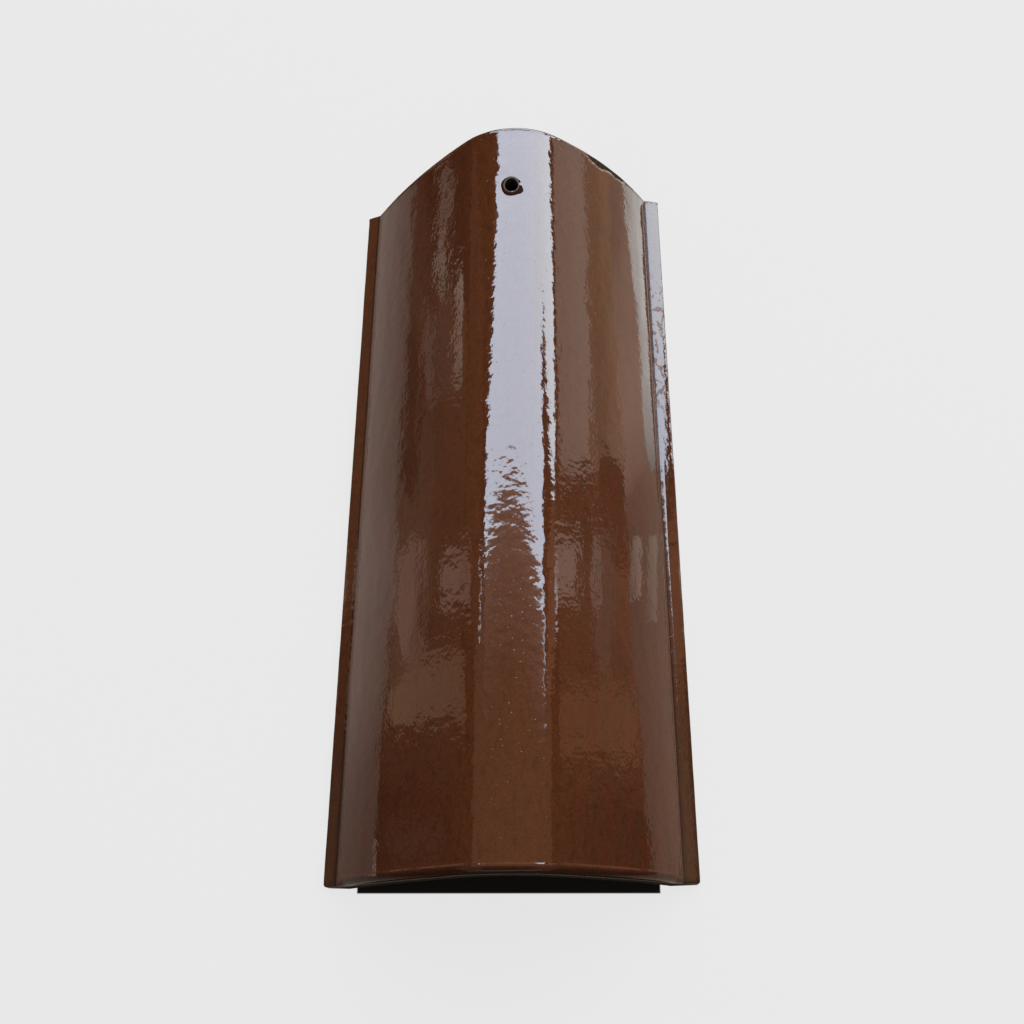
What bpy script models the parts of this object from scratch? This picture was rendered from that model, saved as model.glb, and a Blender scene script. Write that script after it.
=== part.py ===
"""Verge tile: an arched, glazed roof piece that lies on its two long edges.

Metres, +Z up. The origin is under the middle of the tile, on the surface it lies on. The length runs along Y,
from the rounded tail at -Y to the head with the nail hole at +Y, and the width runs along X.
"""

import math

import bmesh
import bpy

# Overall size
LENGTH = 0.445
TAIL_WIDTH = 0.210
HEAD_WIDTH = 0.198
TAIL_HEIGHT = 0.102
HEAD_HEIGHT = 0.0963

# Both ends are cut a little out of square: the head's left corner and the tail's right one fall short by this
HEAD_RUNOUT = 0.0045
TAIL_RUNOUT = 0.0016

# Arch: a tight crown arc between two wide flank arcs, with its top a little right of the middle
WALL = 0.012
CROWN_RADIUS = 0.0435
CROWN_SWEEP = math.radians(40.0)
CROWN_OFFSET = 0.0039

# Lips along the two long edges, which fall outward from the groove at their root
LEFT_LIP = 0.0082
RIGHT_LIP = 0.0095
LEFT_LIP_FALL = 0.0016
RIGHT_LIP_FALL = 0.0030
LIP_ROOT = 0.013
LIP_ROUND = 0.0028
GROOVE_WIDTH = 0.0016
GROOVE_DEPTH = 0.0007

# Rounded nose on the tail
NOSE_RADIUS = 0.0045

# Nail hole through the crown, a little longer than it is wide
HOLE_WIDTH = 0.0080
HOLE_LENGTH = 0.0092
HOLE_INSET = 0.045
HOLE_OFFSET = 0.0055
HOLE_CHAMFER = 0.0010

# Facets in each rounded stretch
CROWN_STEPS = 9
FLANK_STEPS = 8
LIP_STEPS = 4
NOSE_STEPS = 4
HOLE_SIDES = 24


def clear_scene():
    for item in list(bpy.data.objects):
        bpy.data.objects.remove(item, do_unlink=True)


def glaze_material(name):
    material = bpy.data.materials.new(name)
    material.use_nodes = True
    shader = material.node_tree.nodes["Principled BSDF"]
    shader.inputs["Base Color"].default_value = (0.085, 0.036, 0.017, 1.0)
    shader.inputs["Roughness"].default_value = 0.12
    shader.inputs["Metallic"].default_value = 0.0
    return material


def half_arch(reach, rise):
    """The arch from its top down to one lip, as (x, drop, slope) with x growing outward.

    The flank arc starts at the crown arc's last slope and lands on the lip.
    """
    points = []
    for step in range(CROWN_STEPS + 1):
        slope = CROWN_SWEEP * step / CROWN_STEPS
        points.append((CROWN_RADIUS * math.sin(slope), CROWN_RADIUS * (1.0 - math.cos(slope)), slope))
    start_x, start_drop, _ = points[-1]
    chord_slope = math.atan2(rise - start_drop, reach - start_x)
    foot_slope = 2.0 * chord_slope - CROWN_SWEEP
    flank_radius = (reach - start_x) / (math.sin(foot_slope) - math.sin(CROWN_SWEEP))
    for step in range(1, FLANK_STEPS + 1):
        slope = CROWN_SWEEP + (foot_slope - CROWN_SWEEP) * step / FLANK_STEPS
        x = start_x + flank_radius * (math.sin(slope) - math.sin(CROWN_SWEEP))
        drop = start_drop + flank_radius * (math.cos(CROWN_SWEEP) - math.cos(slope))
        points.append((x, drop, slope))
    return points


def lip_outline(root_x, root_z, edge_x, fall, softness):
    """One lip from its groove out, over its rounded edge and down to the ground, as (x, z).

    Softness goes from 0 on the tile's length to 1 on the tail's end, where groove and edge round fade.
    """
    tilt = math.atan2(fall, edge_x - root_x)
    groove_depth = GROOVE_DEPTH * (1.0 - softness)
    edge_round = LIP_ROUND * (1.0 - 0.5 * softness)
    half_groove = 0.5 * GROOVE_WIDTH
    points = [(root_x + half_groove, root_z - half_groove * math.tan(tilt) - groove_depth),
              (root_x + GROOVE_WIDTH, root_z - GROOVE_WIDTH * math.tan(tilt))]
    centre_x = edge_x - edge_round
    centre_z = root_z - fall - edge_round
    for step in range(LIP_STEPS + 1):
        turn = tilt + (0.5 * math.pi - tilt) * step / LIP_STEPS
        points.append((centre_x + edge_round * math.sin(turn), centre_z + edge_round * math.cos(turn)))
    points.append((edge_x, 0.0))
    return points


def half_section(half_width, height, lip, fall, top_x, inset):
    """Outer and inner outline of one side, from the top to the foot, as (x, z) with x growing outward.

    The outer outline is drawn in by the inset, which rounds the nose.
    """
    arch = half_arch(half_width - lip - top_x, height - LIP_ROOT)
    foot_slope = arch[-1][2]
    outer = []
    inner = []
    for x, drop, slope in arch:
        outer.append((top_x + x - inset * math.sin(slope), height - drop - inset * math.cos(slope)))
        inner.append((top_x + x - WALL * math.sin(slope), height - drop - WALL * math.cos(slope)))
    root_x, root_z = outer[-1]
    edge_x = half_width - inset * math.cos(foot_slope)
    outer += lip_outline(root_x, root_z, edge_x, fall, inset / NOSE_RADIUS)
    last_x, last_z = inner[-1]
    inner.append((last_x + last_z / math.tan(foot_slope), 0.0))
    return outer, inner


def section_outline(width, height, inset=0.0):
    """The closed outline of the section: over the arch from the left foot to the right, and back inside."""
    half = 0.5 * width
    left_outer, left_inner = half_section(half, height, LEFT_LIP, LEFT_LIP_FALL, -CROWN_OFFSET, inset)
    right_outer, right_inner = half_section(half, height, RIGHT_LIP, RIGHT_LIP_FALL, CROWN_OFFSET, inset)
    over = [(-x, z) for x, z in reversed(left_outer[1:])] + right_outer
    back = list(reversed(right_inner)) + [(-x, z) for x, z in left_inner[1:]]
    return over + back


def head_y(x):
    """The head's cut, which falls back toward the left by its run-out over the head's width."""
    return 0.5 * LENGTH - HEAD_RUNOUT * (0.5 - x / HEAD_WIDTH)


def tail_y(x):
    """The tail's cut, which falls back toward the right by its run-out over the tail's width."""
    return -0.5 * LENGTH + TAIL_RUNOUT * (0.5 + x / TAIL_WIDTH)


def body_shape():
    mesh = bmesh.new()
    rings = []
    for step in range(NOSE_STEPS + 1):
        turn = 0.5 * math.pi * step / NOSE_STEPS
        back = NOSE_RADIUS * (1.0 - math.cos(turn))
        inset = NOSE_RADIUS * (1.0 - math.sin(turn))
        outline = section_outline(TAIL_WIDTH, TAIL_HEIGHT, inset)
        rings.append([mesh.verts.new((x, tail_y(x) + back, z)) for x, z in outline])
    outline = section_outline(HEAD_WIDTH, HEAD_HEIGHT)
    rings.append([mesh.verts.new((x, head_y(x), z)) for x, z in outline])
    join_rings(mesh, rings)
    return mesh


def join_rings(mesh, rings):
    """Closes a row of rings into one body, with a face on each end."""
    count = len(rings[0])
    for near, far in zip(rings, rings[1:]):
        for index in range(count):
            following = (index + 1) % count
            mesh.faces.new((near[index], near[following], far[following], far[index]))
    mesh.faces.new(reversed(rings[0]))
    mesh.faces.new(rings[-1])
    bmesh.ops.recalc_face_normals(mesh, faces=mesh.faces)


def crown_height(y):
    """Height of the crown line at a place along the length."""
    nose_end = -0.5 * LENGTH + NOSE_RADIUS
    share = (y - nose_end) / (0.5 * LENGTH - nose_end)
    return TAIL_HEIGHT + (HEAD_HEIGHT - TAIL_HEIGHT) * share


def hole_cutter(name):
    """An oval plug through the crown, flared at the top, which leaves a chamfer on the hole's rim."""
    middle_y = 0.5 * LENGTH - HOLE_INSET
    top = crown_height(middle_y)
    levels = [(top - 2.0 * WALL, 0.0), (top - HOLE_CHAMFER, 0.0), (top + HOLE_CHAMFER, 2.0 * HOLE_CHAMFER)]
    mesh = bmesh.new()
    rings = []
    for z, flare in levels:
        ring = []
        for side in range(HOLE_SIDES):
            turn = 2.0 * math.pi * side / HOLE_SIDES
            x = HOLE_OFFSET + (0.5 * HOLE_WIDTH + flare) * math.cos(turn)
            y = middle_y + (0.5 * HOLE_LENGTH + flare) * math.sin(turn)
            ring.append(mesh.verts.new((x, y, z)))
        rings.append(ring)
    join_rings(mesh, rings)
    cutter = mesh_object(name, mesh)
    cutter.hide_render = True
    cutter.display_type = "WIRE"
    return cutter


def mesh_object(name, mesh):
    data = bpy.data.meshes.new(name)
    mesh.to_mesh(data)
    mesh.free()
    item = bpy.data.objects.new(name, data)
    bpy.context.scene.collection.objects.link(item)
    return item


def build():
    clear_scene()
    tile = mesh_object("verge_tile", body_shape())
    tile.data.materials.append(glaze_material("brown glaze"))
    cut = tile.modifiers.new("nail hole", "BOOLEAN")
    cut.operation = "DIFFERENCE"
    cut.solver = "EXACT"
    cut.object = hole_cutter("nail_hole_cutter")
    tile.data.shade_smooth()
    tile.data.set_sharp_from_angle(angle=math.radians(30.0))


build()
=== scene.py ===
"""The verge tile in its brown glaze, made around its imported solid.

Metres, +Z up. The tile lies on its two long edges. Its rounded tail is toward -Y, its head with the nail hole
toward +Y, and X runs across it.
"""

import math

import bmesh
import bpy
import numpy as np
from mathutils import Matrix, Vector, noise


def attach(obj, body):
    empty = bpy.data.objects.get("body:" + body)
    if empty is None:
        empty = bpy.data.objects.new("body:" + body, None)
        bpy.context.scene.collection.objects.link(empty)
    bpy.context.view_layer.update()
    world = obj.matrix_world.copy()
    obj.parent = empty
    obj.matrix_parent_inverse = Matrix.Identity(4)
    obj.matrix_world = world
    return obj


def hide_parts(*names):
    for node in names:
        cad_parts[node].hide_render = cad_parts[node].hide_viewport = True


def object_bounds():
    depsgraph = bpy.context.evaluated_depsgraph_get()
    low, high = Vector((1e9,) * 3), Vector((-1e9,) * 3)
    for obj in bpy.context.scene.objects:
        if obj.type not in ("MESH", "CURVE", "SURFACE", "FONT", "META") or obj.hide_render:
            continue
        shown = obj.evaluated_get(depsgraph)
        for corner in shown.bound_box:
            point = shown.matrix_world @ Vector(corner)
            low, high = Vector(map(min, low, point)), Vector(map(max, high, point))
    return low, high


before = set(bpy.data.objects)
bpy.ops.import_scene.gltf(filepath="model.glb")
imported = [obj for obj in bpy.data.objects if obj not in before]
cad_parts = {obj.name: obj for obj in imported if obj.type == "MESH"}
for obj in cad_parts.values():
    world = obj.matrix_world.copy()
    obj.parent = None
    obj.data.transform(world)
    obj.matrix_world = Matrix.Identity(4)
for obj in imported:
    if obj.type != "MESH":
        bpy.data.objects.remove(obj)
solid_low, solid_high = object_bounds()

# The tile's sizes, which are the solid's own
LENGTH = 0.445
TAIL_WIDTH = solid_high.x - solid_low.x
HEAD_WIDTH = 0.198
TAIL_HEIGHT = solid_high.z
HEAD_HEIGHT = 0.0963
HEAD_RUNOUT = 0.0045
TAIL_RUNOUT = 0.0016
WALL = 0.012
CROWN_RADIUS = 0.0435
CROWN_SWEEP = math.radians(40.0)
CROWN_OFFSET = 0.0039
LEFT_LIP = 0.0082
RIGHT_LIP = 0.0095
LIP_ROOT = 0.013
NOSE_RADIUS = 0.0045
HOLE_WIDTH = 0.0080
HOLE_LENGTH = 0.0092
HOLE_INSET = 0.045
HOLE_OFFSET = 0.0055

# Lips: they roll off a little, from their tilt at the groove to their tilt at the edge. Their stain is full
# along both sides and weaker in the middle.
LEFT_LIP_TILTS = (math.radians(18.5), math.radians(22.0))
RIGHT_LIP_TILTS = (math.radians(15.0), math.radians(22.5))
LIP_EDGE_ROUND = 0.0013
LIP_STAIN_REACH = 0.0018
LIP_STAIN_MIDDLE = 0.4

# The right lip is twisted: how much more it falls for each metre out, at these places along the tile
TWIST_PLACES = (-0.018, 0.030, 0.150)
TWIST = (0.215, 0.095, 0.0)

# Width and depth of the grooves at the lips' roots. A line of painted shade runs along both, and the left one
# has no depth and is only that line
LEFT_GROOVE = (0.0014, 0.0)
RIGHT_GROOVE = (0.0011, 0.00055)

# The cove at the foot of each flank, which has a fine ridge along its upper end with a painted highlight on
# it
COVE_WIDTH = 0.0026
COVE_RISE = 0.00024
FOOT_RIDGE = 0.00008
FOOT_RIDGE_WIDTH = 0.00022
FOOT_HIGHLIGHT = 0.45

# The share of the nose's rounding that the lips have, and the way up the flank over which it becomes whole
LIP_NOSE = 0.45
NOSE_FADE = 0.008

# Fineness of the glazed surface: across the arch, where the flank's last places are given by their way to the
# lip, and along the tile, where the rows lie closer together at both ends
CROWN_STEPS = 30
FLANK_STEPS = 58
FOOT_PLACES = (0.0036, 0.0031, 0.0028, 0.0026, 0.0024, 0.0021, 0.0014, 0.0007, 0.0)
GROOVE_STEPS = 4
LIP_STEPS = 4
ROUND_STEPS = 5
EDGE_STEPS = 3
LIP_COLUMNS = GROOVE_STEPS + LIP_STEPS + ROUND_STEPS + EDGE_STEPS
NOSE_STEPS = 8
ROW_SPACING = 0.00118
FINE_ROW_SPACING = 0.00038
FINE_ROWS = 12

# Fineness of the inside, which has one row for every few of the outside
INSIDE_CROWN_STEPS = 5
INSIDE_FLANK_STEPS = 6
INSIDE_ROWS_APART = 6

# Glaze relief: ripples and ridges stay within this skin below the solid's surface. Ripples have a size and a
# rise, and the drawn-out ones on the flanks a size across, a size along and a rise. The flanks keep a share
# of the round ones. Crown goes over into flank between two tilts, and all ripples fade out near the ground.
SKIN = 0.00040
RIPPLES = ((0.0034, 0.000052), (0.0072, 0.000058), (0.040, 0.000080))
DRAWN_RIPPLES = ((0.0034, 0.0050, 0.000030), (0.0080, 0.018, 0.000080))
FLANK_SHARE = 0.55
CROWN_TILT = math.radians(24.0)
FLANK_TILT = math.radians(50.0)
RIPPLE_GROUND = 0.004

# Ridges where the glaze ran thick, above the nose and along the head, and the head's rounded edge
NOSE_RIDGE = 0.00018
NOSE_RIDGE_WIDTH = 0.0009
HEAD_RIDGE = 0.00024
HEAD_RIDGE_WIDTH = 0.0006
HEAD_ROUND = 0.0011

# Where the glaze ends: bare margins at the ends and the foot, and the stretch on the right where it crept
# back. The edge is ragged in waves of two sizes, and how far inside it a point lies is told up to a limit.
HEAD_BARE = 0.0008
TAIL_BARE = 0.0006
FOOT_BARE = 0.0008
CREEP_PLACES = (0.0512, 0.0535, 0.0598, 0.0655, 0.0700, 0.0742, 0.0762)
CREEP_WIDTHS = (0.0, 0.0032, 0.0052, 0.0025, 0.0034, 0.0028, 0.0)
EDGE_RAGGED = 0.00030
RAGGED_SIZES = (0.00045, 0.0013)
FARTHEST_REACH = 0.010

# The painted highlight along the glaze's edge at the head: where it sets in on the right, how far inside the
# edge it lies, how wide it is, from what creep on it is full, and its share where nothing crept
PALE_EDGE_START = (0.026, 0.034)
PALE_EDGE_PLACE = 0.0006
PALE_EDGE_WIDTH = 0.00065
CREPT_FULL = 0.0012
PLAIN_EDGE = 0.25

# Painted shade on the front of the nose, which faces away from the light; it ends at this share of the nose's
# radius from the tail
NOSE_SHADE = 0.75
NOSE_FRONT_END = 0.65

# How far a normal's height falls short of 1 where a surface is as steep as a flank
FLANK_SLOPE = 0.5

# The nail hole: a shallow dip around it, and a faint swelling between it and the head
DIP_DEPTH = 0.00040
DIP_REACH = 0.0090
DIP_SHIFT = -0.0035
SWELLING_PLACE = (0.0005, 0.1905)
SWELLING_RISE = 0.00016
SWELLING_REACH = 0.0034

# The bead of clay around the bore, widest toward the tail, with one lump and a low, crumbled stretch. Each
# wave of its foot has a rise, a number of crests and a shift.
BEAD_RADIUS = 0.0065
BEAD_DROOP = 0.0005
BEAD_TOP_RADIUS = 0.0047
BEAD_HEIGHT = 0.0009
BEAD_WAVES = ((0.00018, 3.0, 0.7), (0.00012, 5.0, 0.0))
BEAD_LUMP = 0.0019
BEAD_LUMP_TURN = math.radians(-30.0)
BEAD_LUMP_REACH = 0.36
BEAD_GAP_TURN = math.radians(16.0)
BEAD_GAP_REACH = math.radians(34.0)
BEAD_GAP_DEPTH = 0.72
CRUMB_RISE = 0.28
CRUMBS = 9.0
RING_EDGE = 0.0002
RING_FADE = 0.0006
BORE_ROUND = 0.0006
BORE_DROPS = (0.0006, 0.002, 0.006, 1.03 * WALL)

# Round loops take the grid's place around the bore: some between the opening's rim and the first full circle,
# at shares of the way, and then those of the bead's slope and top
PATCH_HALF = 0.0105
PATCH_INNER = 0.0082
PATCH_SHARES = (0.33, 0.66)
BEAD_SLOPE_LOOPS = 14
BEAD_TOP_LOOPS = 8

# Edges sharper than this are shaded as edges
SHARP_ANGLE = math.radians(50.0)

# Camera
LENS = 42.1875
SENSOR_WIDTH = 36.0
CAMERA_PLACE = (0.04913, -0.26362, 0.70148)
CAMERA_PITCH = math.radians(68.843)
CAMERA_YAW = math.radians(-10.487)
CAMERA_ROLL = math.radians(-11.030)

# Studio cards: they lie overhead, stand beside the tile and lie on the ground, and only the glaze shows them.
# Cards that overlap lie a layer apart.
CEILING = 2.0
SIDE = 1.5
LAYER = 0.01
GROUND = 0.0005
OVER_GROUND = 2.0 * GROUND
STRIP_NEAR = 0.09

# Colours of the cards
WINDOW_WHITE = (0.72, 0.833, 1.0)
SIDE_WHITE = (0.80, 0.90, 1.0)
NEUTRAL_WHITE = (1.0, 0.96, 0.96)
GREY_WHITE = (0.98, 1.0, 0.97)
SHEET_WARM = (1.0, 0.84, 0.74)
SHEET_PINK = (1.0, 0.80, 0.68)
SHEET_BROWN = (1.0, 0.72, 0.56)
PANE_WARM = (1.0, 0.68, 0.55)
GROUND_WARM = (1.0, 0.66, 0.42)
WALL_WARM = (1.0, 0.45, 0.25)
CEILING_WARM = (1.0, 0.62, 0.36)

# Soft light that only matt surfaces show: an even one from all round, and a lamp above the head
WORLD_STRENGTH = 0.50
LAMP_SIZE = (2.4, 2.0)
LAMP_POWER = 60.0
LAMP_PLACE = (0.7, 1.2, 2.0)

# Floor: it glows evenly, except under the arch, where the tile keeps the light out
FLOOR_HALF = 15.0
FLOOR_COLOUR = (0.05, 0.05, 0.05, 1.0)
SHADED_FLOOR = (0.018, 0.015, 0.013, 1.0)
FLOOR_GLOW = 0.757
SHADE_SOFTNESS = 0.0008

# The shaded boxes, as middle x, middle y, half width and half length: one a little past the tail, and one
# that reaches under both feet
SHADES = ((-0.0021, -0.0062, 0.0847, 0.2183), (0.0, 0.0, 0.0925, 0.2180))

# Colours and gloss of the glaze
# The crown's brown is a little lighter than the flanks' browns, as painted light from above
CROWN_BROWN = (0.079, 0.0245, 0.0092, 1.0)
FLANK_RED = (0.075, 0.0205, 0.0088, 1.0)
FLANK_OLIVE = (0.064, 0.0230, 0.0100, 1.0)
DEEP_BROWN = (0.030, 0.0090, 0.0050, 1.0)
LIP_STAIN = (0.018, 0.0110, 0.0060, 1.0)
# Painted highlight colour, for the lines along the feet and the head's edge
HIGHLIGHT_PALE = (0.420, 0.345, 0.310, 1.0)
IRON_SPECK = (0.010, 0.0065, 0.0050, 1.0)
# Painted shade colour, for the lines along the grooves and the front of the nose
SHADE_BROWN = (0.014, 0.0070, 0.0050, 1.0)
GLAZE_ROUGHNESS = 0.055
CLOUDY_ROUGHNESS = 0.02
PIT_ROUGHNESS = 0.45
GLAZE_IOR = 1.5

# Colours of the bare body: at the tail, where the glaze crept back, and around the nail hole
BODY_DARK = (0.012, 0.0078, 0.0055, 1.0)
BODY_PALE = (0.040, 0.034, 0.026, 1.0)
TAIL_CLAY = (0.085, 0.078, 0.062, 1.0)
CREPT_DARK = (0.022, 0.014, 0.009, 1.0)
CREPT_PALE = (0.060, 0.040, 0.027, 1.0)
RING_DARK = (0.026, 0.012, 0.011, 1.0)
WORN_RIM = (0.135, 0.108, 0.092, 1.0)
BODY_ROUGHNESS = 1.0

# Fine bumps of the surface, as rises: the glaze's small ripples, its peel and its beads, and the body's grain
FINE_RIPPLE = 0.000040
PEEL = 0.0000070
BEADS = 0.00008
BODY_GRAIN = 0.00020

# Nodes that mix two colours: where their factor, their two colours and their result are among the sockets
MIX_FACTOR = 0
MIX_FIRST = 6
MIX_SECOND = 7
MIX_RESULT = 2


def smooth_step(value, low, high):
    share = np.clip((value - low) / (high - low), 0.0, 1.0)
    return share * share * (3.0 - 2.0 * share)


def bell(distance, width):
    """1 at the middle of a ridge, falling smoothly to 0."""
    return np.exp(-(distance / width) ** 2)


def arch_side(reach, rise, crown_steps, flank_steps, foot_places=(0.0,)):
    """The arch from its top down to one lip: distance out, drop, slope and way to the lip, as arrays.

    The flank arc has even steps down to the first foot place. Foot places are given by their way to the lip.
    """
    crown = np.linspace(0.0, CROWN_SWEEP, crown_steps + 1)
    crown_x = CROWN_RADIUS * np.sin(crown)
    crown_drop = CROWN_RADIUS * (1.0 - np.cos(crown))
    chord_slope = math.atan2(rise - crown_drop[-1], reach - crown_x[-1])
    foot_slope = 2.0 * chord_slope - CROWN_SWEEP
    flank_radius = (reach - crown_x[-1]) / (math.sin(foot_slope) - math.sin(CROWN_SWEEP))
    foot = foot_slope - np.array(foot_places) / flank_radius
    flank = np.append(np.linspace(CROWN_SWEEP, foot[0], flank_steps + 1)[1:], foot[1:])
    flank_x = crown_x[-1] + flank_radius * (np.sin(flank) - math.sin(CROWN_SWEEP))
    flank_drop = crown_drop[-1] + flank_radius * (math.cos(CROWN_SWEEP) - np.cos(flank))
    flank_way = flank_radius * (foot_slope - flank)
    crown_way = flank_radius * (foot_slope - CROWN_SWEEP) + CROWN_RADIUS * (CROWN_SWEEP - crown)
    return (np.append(crown_x, flank_x), np.append(crown_drop, flank_drop), np.append(crown, flank),
            np.append(crown_way, flank_way))


def lip_side(root_x, root_z, edge_x, tilts, groove):
    """One lip from its groove out, over its rounded edge and down to the ground.

    Each point is (x, z, share of the nose, carving, painted highlight, lip stain, painted shade of the
    groove). The groove's carving starts at the height of the cove.
    """
    first, last = math.tan(tilts[0]), math.tan(tilts[1])
    width, depth = groove
    shares = np.arange(1, GROOVE_STEPS + 1) / GROOVE_STEPS
    valley = 1.0 - np.abs(2.0 * shares - 1.0)
    round_x = edge_x - LIP_EDGE_ROUND * (1.0 - math.sin(tilts[1]))
    out = np.append(width * shares, np.linspace(width, round_x - root_x, LIP_STEPS + 1)[1:])
    fall = out * first + (last - first) * out ** 2 / (2.0 * out[-1])
    centre_z = root_z - fall[-1] - LIP_EDGE_ROUND * math.cos(tilts[1])
    turns = np.linspace(tilts[1], 0.5 * math.pi, ROUND_STEPS + 1)[1:]
    turn_x = edge_x - LIP_EDGE_ROUND * (1.0 - np.sin(turns))
    turn_z = centre_z + LIP_EDGE_ROUND * np.cos(turns)
    x = np.concatenate([root_x + out, turn_x, np.full(EDGE_STEPS, edge_x)])
    z = np.concatenate([root_z - fall, turn_z, np.linspace(centre_z, 0.0, EDGE_STEPS + 1)[1:]])
    plain = np.zeros(len(x) - GROOVE_STEPS)
    carving = np.append(COVE_RISE * (1.0 - shares) - depth * valley, plain)
    inside = np.minimum(x - root_x - width, edge_x - x)
    at_side = np.clip(1.0 - inside / LIP_STAIN_REACH, 0.0, 1.0)
    stain = LIP_STAIN_MIDDLE + (1.0 - LIP_STAIN_MIDDLE) * at_side
    # The last look is the groove's line of painted shade, darkest at its middle
    looks = [np.full(len(x), LIP_NOSE), carving, np.zeros(len(x)), stain, np.append(valley, plain)]
    return np.stack([x, z, *looks], axis=1)


def half_section(half_width, height, lip, tilts, groove, top_x, inset):
    """One side from the top to the foot, with x growing outward.

    Each outer point is (x, z, share of the nose, carving, painted highlight, lip stain, painted shade of the
    groove), an inner one (x, z).
    """
    reach = half_width - lip - top_x
    out, drop, slope, way = arch_side(reach, height - LIP_ROOT, CROWN_STEPS, FLANK_STEPS, FOOT_PLACES)
    nose = LIP_NOSE + (1.0 - LIP_NOSE) * smooth_step(way, 0.0, NOSE_FADE)
    x = top_x + out - nose * inset * np.sin(slope)
    z = height - drop - nose * inset * np.cos(slope)
    cove = COVE_RISE * np.clip(1.0 - way / COVE_WIDTH, 0.0, 1.0) ** 2
    pale = bell(way - COVE_WIDTH, FOOT_RIDGE_WIDTH)
    cove += FOOT_RIDGE * pale
    none = np.zeros(len(x))
    edge_x = half_width - LIP_NOSE * inset
    flank = np.stack([x, z, nose, cove, FOOT_HIGHLIGHT * pale, none, none], axis=1)
    outer = np.vstack([flank, lip_side(x[-1], z[-1], edge_x, tilts, groove)])
    out, drop, slope, way = arch_side(reach, height - LIP_ROOT, INSIDE_CROWN_STEPS, INSIDE_FLANK_STEPS)
    inner = np.stack([top_x + out - WALL * np.sin(slope), height - drop - WALL * np.cos(slope)], axis=1)
    last_x, last_z = inner[-1]
    return outer, np.vstack([inner, (last_x + last_z / math.tan(slope[-1]), 0.0)])


def section(width, height, inset=0.0):
    """The section's outer outline from the left foot to the right one, and its inner outline back."""
    left_side = (LEFT_LIP, LEFT_LIP_TILTS, LEFT_GROOVE, -CROWN_OFFSET)
    right_side = (RIGHT_LIP, RIGHT_LIP_TILTS, RIGHT_GROOVE, CROWN_OFFSET)
    left, left_inner = half_section(0.5 * width, height, *left_side, inset)
    right, right_inner = half_section(0.5 * width, height, *right_side, inset)
    left[:, 0] *= -1.0
    left_inner[:, 0] *= -1.0
    return np.vstack([left[:0:-1], right]), np.vstack([right_inner[::-1], left_inner[1:]])


def head_y(x):
    """The head's cut, which falls back toward the left."""
    return 0.5 * LENGTH - HEAD_RUNOUT * (0.5 - x / HEAD_WIDTH)


def tail_y(x):
    """The tail's cut, which falls back toward the right."""
    return -0.5 * LENGTH + TAIL_RUNOUT * (0.5 + x / TAIL_WIDTH)


def ring(outline, y):
    """Points of one ring across the tile, from an outline in (x, z) and a y for each point."""
    return np.stack([outline[:, 0], y, outline[:, 1]], axis=1)


def row_shares():
    """Places of the rows from the nose's end (0) to the head (1), closer together at both ends."""
    run = LENGTH - NOSE_RADIUS
    fine = np.arange(FINE_ROWS) * FINE_ROW_SPACING
    count = int(round((run - 2.0 * fine[-1]) / ROW_SPACING))
    middle = np.linspace(fine[-1], run - fine[-1], count + 1)[1:-1]
    return np.concatenate([fine, middle, run - fine[::-1]]) / run


def twist_right_lip(rows):
    """Turns the right lip further down toward the tail, with its foot still on the ground."""
    root = rows[:, -LIP_COLUMNS - 1:-LIP_COLUMNS, :]
    lip = rows[:, -LIP_COLUMNS:, :]
    twist = np.interp(root[..., 1], TWIST_PLACES, TWIST)
    lip[..., 2] *= 1.0 - twist * (lip[..., 0] - root[..., 0]) / root[..., 2]


def bare_rows():
    """The outer and inner rows before any relief, and what each outer column is told besides its place."""
    outer_rows = []
    inner_rows = []
    for turn in np.linspace(0.0, 0.5 * math.pi, NOSE_STEPS + 1)[:-1]:
        outer, inner = section(TAIL_WIDTH, TAIL_HEIGHT, NOSE_RADIUS * (1.0 - math.sin(turn)))
        back = NOSE_RADIUS * (1.0 - math.cos(turn))
        outer_rows.append(ring(outer, tail_y(outer[:, 0]) + back * outer[:, 2]))
        inner_rows.append(ring(inner, tail_y(inner[:, 0]) + back))
    tail = section(TAIL_WIDTH, TAIL_HEIGHT)
    head = section(HEAD_WIDTH, HEAD_HEIGHT)
    for rows, tail_outline, head_outline in zip((outer_rows, inner_rows), tail, head):
        near = ring(tail_outline, tail_y(tail_outline[:, 0]) + NOSE_RADIUS)
        far = ring(head_outline, head_y(head_outline[:, 0]))
        for share in row_shares():
            rows.append(near + share * (far - near))
    outer_rows = np.array(outer_rows)
    twist_right_lip(outer_rows)
    return outer_rows, np.array(inner_rows), tail[0][:, 2:].T


def grid_normals(rows):
    """The outward normal at each point of a grid of rows."""
    across = np.gradient(rows, axis=1)
    along = np.gradient(rows, axis=0)
    normals = np.cross(across, along)
    normals /= np.maximum(np.linalg.norm(normals, axis=-1, keepdims=True), 1e-12)
    return normals


def ripple(points, crown_shares):
    """Height of the glaze's ripples at each point: round ones on the crown, drawn-out ones on the flanks."""
    heights = np.zeros(len(points))
    for index, (x, y, z) in enumerate(points):
        round_ones = sum(rise * noise.noise(Vector((x, y, z)) / size) for size, rise in RIPPLES)
        drawn_ones = sum(rise * noise.noise(Vector((x / across, y / along, z / across)))
                         for across, along, rise in DRAWN_RIPPLES)
        share = crown_shares[index]
        heights[index] = round_ones * (FLANK_SHARE + (1.0 - FLANK_SHARE) * share) + drawn_ones * (1.0 - share)
    return heights


def bare_rim(x):
    """How far from the head the glaze starts: a thin margin, and the stretch where it crept back."""
    fine, coarse = RAGGED_SIZES
    ragged = np.sin(x / fine) * np.sin(x / coarse + 1.0)
    return HEAD_BARE + np.interp(x, CREEP_PLACES, CREEP_WIDTHS) + EDGE_RAGGED * ragged


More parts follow.
